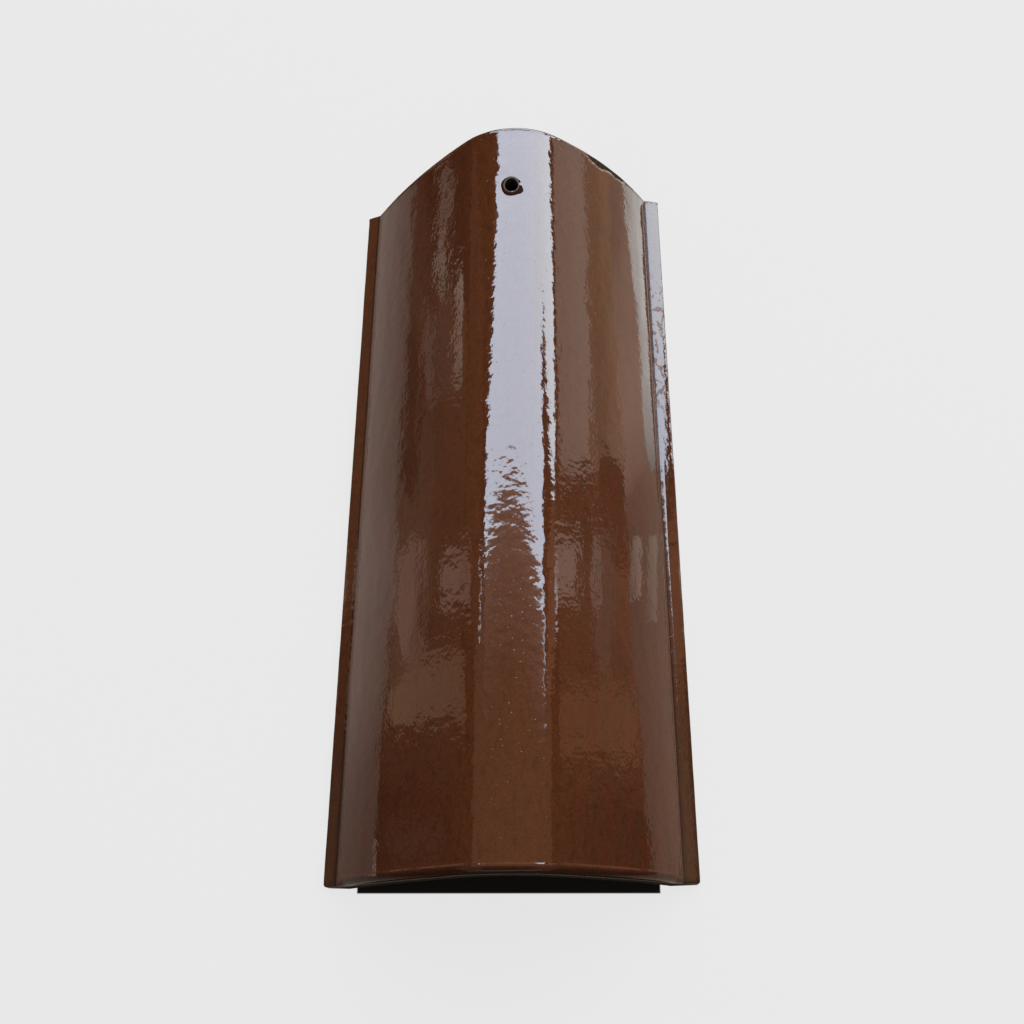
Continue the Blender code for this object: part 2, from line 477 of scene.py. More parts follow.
def relief(points, normals, nose=1.0, carving=0.0):
    """How far the glaze stands from the solid's surface at each point.

    Ripples and ridges stay within the skin, and the carving, the head's round and the dip are added to them.
    """
    x, y, z = points.T
    from_nose = y - (tail_y(x) + NOSE_RADIUS)
    from_head = head_y(x) - y
    crown_shares = smooth_step(normals[:, 2], math.cos(FLANK_TILT), math.cos(CROWN_TILT))
    height = ripple(points, crown_shares) * np.clip(z / RIPPLE_GROUND, 0.0, 1.0)
    height += NOSE_RIDGE * bell(from_nose, NOSE_RIDGE_WIDTH) * (nose - LIP_NOSE) / (1.0 - LIP_NOSE)
    height += HEAD_RIDGE * bell(from_head - bare_rim(x) - HEAD_RIDGE_WIDTH, HEAD_RIDGE_WIDTH)
    from_swelling = np.hypot(x - SWELLING_PLACE[0], y - SWELLING_PLACE[1])
    height += SWELLING_RISE * bell(from_swelling, SWELLING_REACH)
    height = np.minimum(height, SKIN) - SKIN + carving
    rim = np.clip(1.0 - from_head / HEAD_ROUND, 0.0, 1.0)
    height -= HEAD_ROUND * (1.0 - np.sqrt(1.0 - rim ** 2))
    from_dip = np.hypot(x - HOLE_OFFSET, y - (0.5 * LENGTH - HOLE_INSET + DIP_SHIFT))
    return height - DIP_DEPTH * bell(from_dip, DIP_REACH)


def dress(rows, normals, nose, carving):
    """The rows with the glaze's relief on them. The foot stays on the ground."""
    flat = rows.reshape(-1, 3)
    along = len(rows)
    height = relief(flat, normals.reshape(-1, 3), np.tile(nose, along), np.tile(carving, along))
    moved = flat + height[:, None] * normals.reshape(-1, 3)
    moved[:, 2] = np.where(flat[:, 2] <= 0.0, 0.0, np.maximum(moved[:, 2], 0.0))
    return moved.reshape(rows.shape)


def glaze_reach(rows, nose):
    """How far inside the glaze's edge each point of the outer rows lies; below zero the body is bare."""
    x, y, z = rows[..., 0], rows[..., 1], rows[..., 2]
    radius = NOSE_RADIUS * nose
    past_nose = y - (tail_y(x) + radius)
    turn = np.arccos(np.clip(1.0 - (radius + np.minimum(past_nose, 0.0)) / radius, -1.0, 1.0))
    from_tail = radius * turn + np.maximum(past_nose, 0.0)
    from_head = head_y(x) - y
    reach = np.minimum(from_tail - TAIL_BARE * nose, from_head - bare_rim(x))
    return np.minimum(np.minimum(reach, z - FOOT_BARE), FARTHEST_REACH)


def shaded_nose_front(rows, nose):
    """1 on the front of the rounded nose and 0 from its top on, where shade is painted on the glaze."""
    x, y = rows[..., 0], rows[..., 1]
    return smooth_step((y - tail_y(x)) / (NOSE_RADIUS * nose), 1.0, NOSE_FRONT_END)


def edge_highlight(rows, reaches):
    """1 along the glaze's thick edge where it crept back from the head, where a highlight is painted; less
    beside that stretch.
    """
    x, y = rows[..., 0], rows[..., 1]
    crept = np.clip(np.interp(x, CREEP_PLACES, CREEP_WIDTHS) / CREPT_FULL, PLAIN_EDGE, 1.0)
    line = bell(reaches - PALE_EDGE_PLACE, PALE_EDGE_WIDTH)
    return crept * line * smooth_step(x, *PALE_EDGE_START) * (y > 0.0)


def crown_surface(x, y):
    """Points and normals of the bare crown at places given by x and y."""
    start = tail_y(x) + NOSE_RADIUS
    share = (y - start) / (head_y(x) - start)
    top = TAIL_HEIGHT + (HEAD_HEIGHT - TAIL_HEIGHT) * share
    slope = np.arcsin((x - CROWN_OFFSET) / CROWN_RADIUS)
    points = np.stack([x, y, top - CROWN_RADIUS * (1.0 - np.cos(slope))], axis=1)
    normals = np.stack([np.sin(slope), np.zeros_like(slope), np.cos(slope)], axis=1)
    return points, normals


def around(turn, middle):
    """The angle from a direction, the short way round."""
    return np.angle(np.exp(1j * (turn - middle)))


def bead_foot(turn):
    """Radius of the bead's foot: widest below the bore, with a lump on one side."""
    wave = sum(rise * np.sin(count * turn + shift) for rise, count, shift in BEAD_WAVES)
    lump = BEAD_LUMP * bell(around(turn, BEAD_LUMP_TURN), BEAD_LUMP_REACH)
    return BEAD_RADIUS - BEAD_DROOP * np.sin(turn) + lump + wave


def bead_presence(turn):
    """1 where the bead is whole, and less where it is low and broken."""
    broken = BEAD_GAP_DEPTH + CRUMB_RISE * np.sin(CRUMBS * turn)
    return 1.0 - broken * bell(around(turn, BEAD_GAP_TURN), BEAD_GAP_REACH)


class Shape:
    """Vertices and faces of the mesh while it is put together, with what the glaze reads at each vertex."""

    def __init__(self):
        self.points = []
        self.faces = []
        names = ("glaze_reach", "steepness", "dark_glaze", "pale_line", "lip_stain", "hole_ring", "wear")
        self.looks = {name: [] for name in names}

    def add(self, points, **looks):
        """Adds vertices, with 0 for each look that isn't given. Gives their indices."""
        start = len(self.points)
        self.points.extend(map(tuple, points))
        for name, values in self.looks.items():
            values.extend(np.broadcast_to(looks.get(name, 0.0), len(points)))
        return list(range(start, len(self.points)))

    def strip(self, first, second):
        """Quads between two closed loops of the same length."""
        count = len(first)
        for index in range(count):
            after = (index + 1) % count
            self.faces.append((first[index], first[after], second[after], second[index]))

    def sheet(self, grid, gap):
        """Quads over a grid, with a rectangular gap left open."""
        row_low, row_high, column_low, column_high = gap
        for row in range(len(grid) - 1):
            for column in range(len(grid[0]) - 1):
                if row_low <= row < row_high and column_low <= column < column_high:
                    continue
                self.faces.append((grid[row][column], grid[row][column + 1],
                                   grid[row + 1][column + 1], grid[row + 1][column]))

    def end(self, outer, inner):
        """Closes one end of the shell with a face for each facet of its inside. The inner line runs back."""
        outside = np.array([self.points[index] for index in outer])
        marks = [int(np.argmin(np.linalg.norm(outside - self.points[index], axis=1))) for index in inner]
        marks[0] = len(outer) - 1
        marks[-1] = 0
        for index in range(len(inner) - 1):
            self.faces.append((inner[index], inner[index + 1], *outer[marks[index + 1]:marks[index] + 1]))

    def foot(self, outer_edge, inner_edge, picks):
        """Closes the ground side of one foot, with a face for each row of the inside."""
        for index in range(len(picks) - 1):
            edge = outer_edge[picks[index]:picks[index + 1] + 1]
            self.faces.append((inner_edge[index], *edge, inner_edge[index + 1]))


def window_loop(grid, row_low, row_high, column_low, column_high):
    """What a grid holds around a rectangular opening, counter-clockwise seen from outside."""
    loop = [grid[row_low][column] for column in range(column_low, column_high)]
    loop += [grid[row][column_high] for row in range(row_low, row_high)]
    loop += [grid[row_high][column] for column in range(column_high, column_low, -1)]
    loop += [grid[row][column_low] for row in range(row_high, row_low, -1)]
    return loop


def opening(rows, middle_x, middle_y, half):
    """First and last row and column of the grid around a place on it."""
    row = int(np.argmin(np.abs(rows[:, rows.shape[1] // 2, 1] - middle_y)))
    column = int(np.argmin(np.abs(rows[row, :, 0] - middle_x) + (rows[row, :, 2] < 0.05)))
    row_step = abs(rows[row + 1, column, 1] - rows[row, column, 1])
    column_step = abs(rows[row, column + 1, 0] - rows[row, column, 0])
    row_reach = max(1, math.ceil(half / row_step))
    column_reach = max(1, math.ceil(half / column_step))
    return row - row_reach, row + row_reach, column - column_reach, column + column_reach


def steepness(normals):
    """0 on the level crown, small on the lips, and 1 on the flanks."""
    return np.clip((1.0 - normals[..., 2]) / FLANK_SLOPE, 0.0, 1.0)


def tile_shape():
    """The whole tile with its nail hole, and the two loops that are still to be joined under the hole."""
    outer_bare, inner_rows, (nose, carving, pale, stain, groove) = bare_rows()
    normals = grid_normals(outer_bare)
    outer_rows = dress(outer_bare, normals, nose, carving)
    reaches = glaze_reach(outer_bare, nose)
    steep = steepness(normals)
    # Painted shade: a line along each groove, and the front of the nose, which faces away from the light
    dark = np.maximum(groove, NOSE_SHADE * shaded_nose_front(outer_bare, nose))
    pale = np.maximum(pale, edge_highlight(outer_bare, reaches))
    shape = Shape()
    outer = []
    for row in range(len(outer_rows)):
        outer.append(shape.add(outer_rows[row], glaze_reach=reaches[row], steepness=steep[row],
                               dark_glaze=dark[row], pale_line=pale[row], lip_stain=stain))
    last = len(outer) - 1
    picks = list(range(0, last, INSIDE_ROWS_APART)) + [last]
    inner_rows = inner_rows[picks]
    inner = [shape.add(row, glaze_reach=-FARTHEST_REACH) for row in inner_rows]
    middle_y = 0.5 * LENGTH - HOLE_INSET
    top_gap = opening(outer_bare, HOLE_OFFSET, middle_y, PATCH_HALF)
    low_gap = opening(inner_rows, HOLE_OFFSET, middle_y, 0.5 * PATCH_HALF)
    shape.sheet(outer, top_gap)
    shape.sheet(inner, low_gap)
    shape.foot([row[-1] for row in outer], [row[0] for row in inner], picks)
    shape.foot([row[0] for row in outer], [row[-1] for row in inner], picks)
    shape.end(outer[0], inner[0])
    shape.end(outer[-1], inner[-1])
    bore_end = nail_hole(shape, window_loop(outer, *top_gap), outer_bare, top_gap)
    return shape, bore_end, window_loop(inner, *low_gap)


def nail_hole(shape, rim, rows, gap):
    """The bead and the bore, as loops from the opening's rim in and down. Gives the last one."""
    middle_y = 0.5 * LENGTH - HOLE_INSET
    bare = np.array(window_loop(rows, *gap))
    offset_x = bare[:, 0] - HOLE_OFFSET
    offset_y = bare[:, 1] - middle_y
    turns = np.arctan2(offset_y, offset_x)
    reach = np.hypot(offset_x, offset_y)
    slope_radii = np.linspace(PATCH_INNER, BEAD_TOP_RADIUS, BEAD_SLOPE_LOOPS)
    radii = np.append(slope_radii, np.linspace(BEAD_TOP_RADIUS, 0.5 * HOLE_WIDTH, BEAD_TOP_LOOPS)[1:])
    loops = [rim]
    for share in PATCH_SHARES:
        loops.append(bead_loop(shape, reach + share * (radii[0] - reach), turns, middle_y))
    for radius in radii:
        loops.append(bead_loop(shape, np.full_like(turns, radius), turns, middle_y))
    top = np.array([shape.points[index] for index in loops[-1]])
    for drop in BORE_DROPS:
        wall = top.copy()
        wall[:, 2] -= drop
        loops.append(shape.add(wall, glaze_reach=-drop))
    for first, second in zip(loops, loops[1:]):
        shape.strip(first, second)
    return loops[-1]


def bead_loop(shape, radius, turns, middle_y):
    """One loop around the nail hole on the crown, at a radius for each turn."""
    bore = 0.5 * HOLE_WIDTH
    stretch = HOLE_LENGTH / HOLE_WIDTH
    oval = np.clip((PATCH_HALF - radius) / (PATCH_HALF - bore), 0.0, 1.0)
    x = HOLE_OFFSET + radius * np.cos(turns)
    y = middle_y + radius * np.sin(turns) * (1.0 + (stretch - 1.0) * oval)
    points, normals = crown_surface(x, y)
    presence = bead_presence(turns)
    foot = bead_foot(turns)
    top = BEAD_TOP_RADIUS + 0.5 * (foot - BEAD_RADIUS)
    bead = BEAD_HEIGHT * presence * smooth_step(foot - radius, 0.0, foot - top)
    rounding = np.clip(1.0 - (radius - bore) / BORE_ROUND, 0.0, 1.0)
    height = relief(points, normals) + bead - BORE_ROUND * (1.0 - np.sqrt(1.0 - rounding ** 2))
    ring_share = smooth_step(radius, BEAD_TOP_RADIUS - RING_EDGE, BEAD_TOP_RADIUS + RING_EDGE)
    dark = ring_share * smooth_step(foot - radius, 0.0, RING_FADE) * presence
    reach = np.minimum(radius - bore, FARTHEST_REACH)
    return shape.add(points + height[:, None] * normals, glaze_reach=reach, steepness=steepness(normals),
                     hole_ring=dark, wear=1.0 - ring_share)


def make_tile():
    """The dressed tile as one closed mesh, with what its material reads as attributes."""
    shape, bore_end, inner_gap = tile_shape()
    mesh = bpy.data.meshes.new("glazed_verge_tile")
    mesh.from_pydata(shape.points, [], shape.faces)
    for name, values in shape.looks.items():
        mesh.attributes.new(name, "FLOAT", "POINT").data.foreach_set("value", values)
    build = bmesh.new()
    build.from_mesh(mesh)
    build.verts.ensure_lookup_table()
    edges = []
    for loop in (bore_end, inner_gap):
        for first, second in zip(loop, loop[1:] + loop[:1]):
            edges.append(build.edges.get((build.verts[first], build.verts[second])))
    bmesh.ops.bridge_loops(build, edges=edges)
    bmesh.ops.recalc_face_normals(build, faces=build.faces)
    for face in build.faces:
        face.smooth = len(face.verts) == 4
    build.to_mesh(mesh)
    build.free()
    mesh.set_sharp_from_angle(angle=SHARP_ANGLE)
    tile = bpy.data.objects.new("glazed_verge_tile", mesh)
    bpy.context.scene.collection.objects.link(tile)
    return tile


def place_camera():
    """The camera at the photograph's view: looking down along the tile, turned and rolled a little."""
    forward = Vector((math.sin(CAMERA_YAW) * math.cos(CAMERA_PITCH),
                      math.cos(CAMERA_YAW) * math.cos(CAMERA_PITCH), -math.sin(CAMERA_PITCH)))
    level = Vector((math.cos(CAMERA_YAW), -math.sin(CAMERA_YAW), 0.0))
    upright = level.cross(forward)
    right = level * math.cos(CAMERA_ROLL) + upright * math.sin(CAMERA_ROLL)
    up = upright * math.cos(CAMERA_ROLL) - level * math.sin(CAMERA_ROLL)
    camera = bpy.data.objects.new("camera", bpy.data.cameras.new("camera"))
    camera.data.sensor_width = SENSOR_WIDTH
    camera.data.lens = LENS
    camera.data.clip_start = 0.02
    camera.data.clip_end = 60.0
    turn = Matrix((right, up, -forward)).transposed()
    camera.matrix_world = Matrix.Translation(CAMERA_PLACE) @ turn.to_4x4()
    bpy.context.scene.collection.objects.link(camera)
    bpy.context.scene.camera = camera


class Value:
    """A socket in a material's nodes that Python's operators work on."""

    def __init__(self, sheet, socket):
        self.sheet = sheet
        self.socket = socket

    def maths(self, operation, first, second):
        return self.sheet.node("ShaderNodeMath", {"operation": operation}, {0: first, 1: second})

    def __add__(self, other):
        return self.maths("ADD", self, other)

    __radd__ = __add__

    def __sub__(self, other):
        return self.maths("SUBTRACT", self, other)

    def __rsub__(self, other):
        return self.maths("SUBTRACT", other, self)

    def __mul__(self, other):
        return self.maths("MULTIPLY", self, other)

    __rmul__ = __mul__

    def smooth(self, low, high):
        """0 below low and 1 above high, with a soft change between; high may be the lower one."""
        limits = {"Value": self, "From Min": low, "From Max": high}
        return self.sheet.node("ShaderNodeMapRange", {"interpolation_type": "SMOOTHSTEP"}, limits)


class Finish:
    """One material and its nodes."""

    def __init__(self, name):
        self.material = bpy.data.materials.new(name)
        self.material.use_nodes = True
        self.tree = self.material.node_tree
        self.tree.nodes.clear()

    def node(self, kind, settings, values, output=0):
        """A new node with its settings, then what its sockets take. Gives one of its outputs."""
        made = self.tree.nodes.new(kind)
        for name, setting in settings.items():
            setattr(made, name, setting)
        for name, value in values.items():
            if isinstance(value, Value):
                self.tree.links.new(value.socket, made.inputs[name])
            else:
                made.inputs[name].default_value = value
        return Value(self, made.outputs[output]) if made.outputs else None

    def place(self):
        """Where a point of the surface lies."""
        return self.node("ShaderNodeTexCoord", {}, {}, "Object")

    def axis(self, name):
        """Where a point of the surface lies along X, Y or Z."""
        return self.node("ShaderNodeSeparateXYZ", {}, {"Vector": self.place()}, name)

    def mix(self, factor, first, second):
        """Two colours mixed by a factor."""
        sockets = {MIX_FACTOR: factor, MIX_FIRST: first, MIX_SECOND: second}
        return self.node("ShaderNodeMix", {"data_type": "RGBA"}, sockets, MIX_RESULT)

    def noise(self, place, size, detail=0.0):
        """Soft noise around a half, with bumps of about the given size in metres."""
        values = {"Vector": place, "Scale": 1.0 / size, "Detail": detail}
        return self.node("ShaderNodeTexNoise", {}, values)

    def cells(self, place, size):
        """Distance from the nearest of many scattered points, as a share of the given size in metres."""
        return self.node("ShaderNodeTexVoronoi", {}, {"Vector": place, "Scale": 1.0 / size}, "Distance")

    def stretched(self, place, factors):
        """A place with each of its axes scaled."""
        return self.node("ShaderNodeVectorMath", {"operation": "MULTIPLY"}, {0: place, 1: factors})

    def attribute(self, name):
        """One of the values that the mesh carries at each vertex."""
        return self.node("ShaderNodeAttribute", {"attribute_name": name}, {}, "Fac")

    def finish(self, surface):
        """Gives the surface to the material's output, and the material."""
        self.node("ShaderNodeOutputMaterial", {}, {"Surface": surface})
        return self.material


def card(name, corners, glows, colour, faces=None):
    """A glowing studio card that only shows in reflections. It has one face, unless its faces are given."""
    finish = Finish(name)
    glow = finish.attribute("glow")
    lamp = finish.node("ShaderNodeEmission", {}, {"Color": (*colour, 1.0), "Strength": glow})
    mesh = bpy.data.meshes.new(name)
    mesh.from_pydata(corners, [], faces or [tuple(range(len(corners)))])
    mesh.attributes.new("glow", "FLOAT", "POINT").data.foreach_set("value", glows)
    mesh.materials.append(finish.finish(lamp))
    mesh.materials[0].cycles.emission_sampling = "NONE"
    item = bpy.data.objects.new(name, mesh)
    item.visible_camera = False
    item.visible_diffuse = False
    item.visible_shadow = False
    item.visible_transmission = False
    bpy.context.scene.collection.objects.link(item)


def overhead(name, outline, glow, colour=WINDOW_WHITE, height=CEILING):
    """A card overhead, from an outline in (x, y)."""
    card(name, [(x, y, height) for x, y in outline], np.broadcast_to(glow, len(outline)), colour)


def beside(name, side, outline, glow, colour=NEUTRAL_WHITE, distance=SIDE):
    """A card that stands beside the tile, left (-1) or right (1), from an outline in (y, z)."""
    card(name, [(side * distance, y, z) for y, z in outline], np.broadcast_to(glow, len(outline)), colour)


def low(name, outline, glow, colour, height=GROUND):
    """A card that lies on the ground, from an outline in (x, y)."""
    card(name, [(x, y, height) for x, y in outline], np.broadcast_to(glow, len(outline)), colour)


def runway(name, side, stops, colour, height=GROUND):
    """A strip on the ground along the tile. Each stop is (y, farthest x, glow near the tile, far glow)."""
    corners = []
    glows = []
    for y, far_x, near_glow, far_glow in stops:
        corners += [(side * STRIP_NEAR, y, height), (side * far_x, y, height)]
        glows += [near_glow, far_glow]
    faces = [(2 * step, 2 * step + 1, 2 * step + 3, 2 * step + 2) for step in range(len(stops) - 1)]
    card(name, corners, glows, colour, faces)


def box(first, second):
    """The four corners of a rectangle from two opposite ones."""
    (a, b), (c, d) = first, second
    return [(a, b), (c, b), (c, d), (a, d)]


def window_cards():
    """The bright cards past the head, whose light lies along the crown, and the dim one above the tile."""
    overhead("skylight",
             [(-1.50, 0.82), (2.42, 0.82), (2.42, 2.60), (2.42, 6.0), (-0.80, 6.0), (-0.80, 1.70),
              (-1.12, 1.36), (-1.42, 1.10)],
             (12.4, 12.4, 13.0, 13.6, 13.6, 12.8, 12.4, 12.4))
    overhead("left_sliver", [(-1.92, 0.92), (-1.81, 0.88), (-1.74, 0.65), (-1.84, 0.68)], 7.0)
    overhead("right_sliver", [(2.40, 0.87), (2.56, 0.91), (2.49, 0.62), (2.34, 0.59)], 7.0)
    overhead("warm_ceiling", box((-2.3, -1.2), (3.6, 0.82)), 0.48, CEILING_WARM, CEILING + LAYER)
    overhead("ceiling_glow", box((-1.4, 0.40), (2.3, 0.82)), (0.5, 0.5, 1.4, 1.4), PANE_WARM,
             CEILING + 0.5 * LAYER)
    beside("right_window", 1,
           [(0.62, 0.56), (1.06, 0.55), (1.47, 0.69), (3.2, 0.9), (3.2, 3.0), (1.25, 3.0), (1.25, 1.22),
            (0.94, 0.97), (0.70, 0.76)],
           11.5, SIDE_WHITE)
    beside("right_slot", 1, [(0.49, 0.58), (0.48, 0.48), (0.36, 0.51), (0.37, 0.61)], 7.0, SIDE_WHITE)


def left_cards():
    """What the left flank shows: a pale strip on the ground beside the tile, and dim warm cards."""
    runway("left_sheet", -1,
           [(-0.32, 0.190, 0.0, 0.0), (-0.235, 0.202, 0.34, 0.20), (-0.19, 0.207, 0.42, 0.22),
            (-0.12, 0.208, 0.74, 0.32), (-0.06, 0.224, 0.74, 0.50), (0.0, 0.240, 0.76, 0.62),
            (0.10, 0.240, 0.74, 0.36), (0.40, 0.236, 0.60, 0.30), (0.75, 0.236, 0.75, 0.45)],
           SHEET_WARM)
    low("left_sheet_rim", [(-0.188, -0.26), (-0.204, -0.185), (-0.216, -0.185), (-0.206, -0.26)],
        1.0, SHEET_PINK, OVER_GROUND)
    low("left_far_ground", [(-1.2, 0.29), (-0.60, 0.04), (-0.24, -0.08), (-0.24, 0.40), (-1.2, 0.62)],
        (0.22, 0.44, 0.36, 0.08, 0.08), GROUND_WARM)
    low("left_shade", [(-0.245, 0.085), (-0.245, 0.24), (-0.42, 0.26), (-0.39, 0.12), (-0.30, 0.095)],
        0.06, PANE_WARM, OVER_GROUND)
    low("left_near_pane",
        [(-0.245, -0.02), (-0.262, 0.028), (-0.35, 0.075), (-0.50, 0.132), (-0.62, 0.150), (-0.66, 0.085),
         (-0.48, 0.005), (-0.32, -0.04)],
        (0.8, 0.8, 1.0, 0.8, 0.4, 0.4, 1.0, 0.9), PANE_WARM, OVER_GROUND)
    low("left_far_patch",
        [(-0.44, 0.27), (-0.44, 0.36), (-0.60, 0.44), (-0.86, 0.47), (-0.70, 0.37), (-0.55, 0.30)],
        0.45, SHEET_PINK, OVER_GROUND)
    beside("left_wall", -1, box((0.05, -0.40), (1.02, 0.50)),
           (0.10, 0.32, 0.40, 0.10), WALL_WARM, SIDE + LAYER)
    beside("left_high_wall", -1, box((0.45, 0.55), (1.50, 1.60)), 0.26, WALL_WARM, SIDE + LAYER)
    beside("left_pane_2", -1, [(0.46, 0.04), (0.54, 0.92), (0.44, 0.98), (0.36, 0.05)], 1.15, PANE_WARM)
    beside("left_pane_3", -1, [(0.27, -0.38), (0.31, 0.75), (0.185, 0.80), (0.145, -0.34)], 0.75, GROUND_WARM)
    beside("left_pane_low", -1, [(-0.02, -0.28), (-0.02, 0.11), (-0.07, 0.12), (-0.07, -0.26)], 0.08)
    beside("left_streak_1", -1, [(1.18, -0.11), (1.18, -0.01), (1.02, 0.01), (1.02, -0.08)], 1.0, SHEET_PINK)
    beside("left_streak_3", -1, [(1.19, -0.10), (1.34, -0.10), (1.32, 0.04), (1.19, 0.02)], 0.6, SHEET_PINK)
    beside("left_streak_2", -1, [(1.07, 0.11), (1.09, 0.21), (0.84, 0.22), (0.81, 0.10)],
           (1.75, 1.75, 1.1, 1.1), SHEET_PINK)
    beside("left_glow", -1, [(1.00, -0.32), (0.98, 0.05), (0.79, 0.08), (0.80, -0.27)], 0.30, PANE_WARM)


def right_cards():
    """What the right flank shows: a strip on the ground with a bright one near the tile, and warm cards."""
    beside("right_pane_high", 1, [(0.63, 0.01), (0.85, -0.03), (2.2, 0.08), (2.2, 0.60), (0.63, 0.37)],
           (1.6, 1.8, 0.85, 0.85, 1.65), SHEET_PINK)
    runway("right_sheet", 1,
           [(-0.32, 0.150, 0.0, 0.0), (-0.235, 0.160, 0.50, 0.40), (-0.2065, 0.175, 0.62, 0.44),
            (-0.149, 0.197, 0.66, 0.48), (-0.094, 0.212, 0.68, 0.48), (-0.047, 0.231, 0.64, 0.48),
            (0.010, 0.231, 0.66, 0.42), (0.040, 0.228, 0.74, 0.50), (0.070, 0.226, 0.95, 1.2),
            (0.12, 0.235, 1.0, 1.6), (0.22, 0.240, 0.9, 1.2), (0.28, 0.250, 0.75, 0.75),
            (0.75, 0.26, 0.7, 0.7)],
           SHEET_BROWN)
    low("right_far_ground",
        [(0.235, 0.088), (0.42, 0.182), (0.60, 0.26), (1.0, 0.40), (1.49, 0.53), (1.49, 1.20), (0.262, 1.20)],
        (1.2, 0.95, 0.8, 0.9, 1.0, 0.7, 0.8), GROUND_WARM)
    low("right_far_patch", box((0.58, 0.0), (1.0, 0.15)), 0.55, GROUND_WARM)
    runway("right_bright", 1,
           [(0.036, 0.120, 0.8, 0.8), (0.060, 0.130, 1.4, 1.3), (0.105, 0.129, 2.2, 1.9),
            (0.15, 0.130, 2.9, 1.8), (0.20, 0.135, 2.6, 1.9), (0.25, 0.148, 2.2, 1.7),
            (0.37, 0.155, 2.0, 2.0)],
           GREY_WHITE, OVER_GROUND)
    beside("right_wall", 1, box((0.02, -0.50), (0.46, 0.45)),
           (0.15, 0.9, 0.45, 0.15), WALL_WARM, SIDE + LAYER)
    beside("right_high_wall", 1, [(0.30, 0.64), (0.62, 0.64), (0.60, 1.05), (0.30, 1.05)],
           1.1, WALL_WARM, SIDE + LAYER)
    beside("right_pane_1", 1, [(0.54, 0.62), (0.50, 0.17), (0.38, 0.19), (0.41, 0.65)], 1.75, SHEET_PINK)
    beside("right_pane_2", 1, [(0.50, 0.05), (0.51, -0.21), (0.25, -0.14), (0.25, 0.02)], 0.62, PANE_WARM)
    beside("right_pane_3", 1, [(0.50, -0.06), (0.52, 0.03), (0.37, 0.05), (0.36, -0.02)],
           1.2, SHEET_PINK, SIDE - LAYER)
    beside("right_pane_low", 1, [(0.22, -0.40), (0.22, 0.45), (0.10, 0.45), (0.09, -0.40)], 0.80, WALL_WARM)
    beside("right_dim_wall", 1, box((0.47, -0.50), (0.95, 0.63)), 0.26, WALL_WARM, SIDE + 2.0 * LAYER)
    low("right_streak_1", [(0.197, 0.018), (0.156, 0.004), (0.169, -0.036), (0.213, -0.022)],
        (0.9, 1.4, 1.5, 0.7), SHEET_PINK, OVER_GROUND)
    low("right_streak_2", [(0.134, -0.003), (0.116, -0.009), (0.126, -0.063), (0.148, -0.057)],
        (0.9, 1.1, 1.0, 0.7), SHEET_PINK, OVER_GROUND)


def back_cards():
    """Dim cards behind the camera, for views of the head and the sides."""
    card("back_card", [(-1.8, -2.6, 0.2), (1.8, -2.6, 0.2), (1.8, -2.6, 0.9), (-1.8, -2.6, 0.9)], [0.5] * 4,
         NEUTRAL_WHITE)
    for name, side in (("left_back_card", -1), ("right_back_card", 1)):
        beside(name, side, box((-2.6, 0.3), (-0.9, 1.8)), 0.22, PANE_WARM)


def light_world():
    """The even light from all round, and the soft lamp above the head. Reflections show neither."""
    world = bpy.data.worlds.new("studio")
    world.use_nodes = True
    background = world.node_tree.nodes["Background"]
    background.inputs["Color"].default_value = (1.0, 1.0, 1.0, 1.0)
    background.inputs["Strength"].default_value = WORLD_STRENGTH
    world.cycles_visibility.glossy = False
    bpy.context.scene.world = world
    lamp = bpy.data.lights.new("soft_top_light", "AREA")
    lamp.shape = "RECTANGLE"
    lamp.size, lamp.size_y = LAMP_SIZE
    lamp.energy = LAMP_POWER
    holder = bpy.data.objects.new("soft_top_light", lamp)
    holder.location = LAMP_PLACE
    holder.rotation_mode = "QUATERNION"
    holder.rotation_quaternion = Vector(holder.location).to_track_quat("Z", "Y")
    holder.visible_camera = False
    holder.visible_glossy = False
    bpy.context.scene.collection.objects.link(holder)


def within(distance, half):
    """1 inside a band around the middle and 0 outside, with a soft edge."""
    return (distance * distance).smooth((half + SHADE_SOFTNESS) ** 2, half ** 2)


def make_floor():
    """The pale floor, with the shade under the arch painted on it."""
    mesh = bpy.data.meshes.new("floor")
    corners = box((-FLOOR_HALF, -FLOOR_HALF), (FLOOR_HALF, FLOOR_HALF))
    mesh.from_pydata([(x, y, 0.0) for x, y in corners], [], [(0, 1, 2, 3)])
    finish = Finish("pale_floor")
    x = finish.axis("X")
    y = finish.axis("Y")
    lit = 1.0
    for middle_x, middle_y, half_width, half_length in SHADES:
        lit = lit * (1.0 - within(x - middle_x, half_width) * within(y - middle_y, half_length))
    glow = finish.mix(lit, (0.0, 0.0, 0.0, 1.0), (1.0, 1.0, 1.0, 1.0))
    paint = finish.mix(lit, SHADED_FLOOR, FLOOR_COLOUR)
    surface = finish.node("ShaderNodeBsdfPrincipled", {}, {
        "Base Color": paint, "Roughness": 1.0, "Specular IOR Level": 0.0,
        "Emission Color": glow, "Emission Strength": FLOOR_GLOW}, "BSDF")
    mesh.materials.append(finish.finish(surface))
    mesh.materials[0].cycles.emission_sampling = "NONE"
    floor = bpy.data.objects.new("floor", mesh)
    floor.visible_glossy = False
    bpy.context.scene.collection.objects.link(floor)


def lip_pits(finish, place, x, y, lip):
    """1 in the pits of the right lip's glaze, along the middle of the tile."""
    pits = finish.noise(finish.stretched(place, (1.0, 0.7, 1.0)), 0.0038, 2.0).smooth(0.54, 0.58)
    return pits * lip * x.smooth(0.0, 0.01) * y.smooth(0.195, 0.135) * y.smooth(0.055, 0.080)


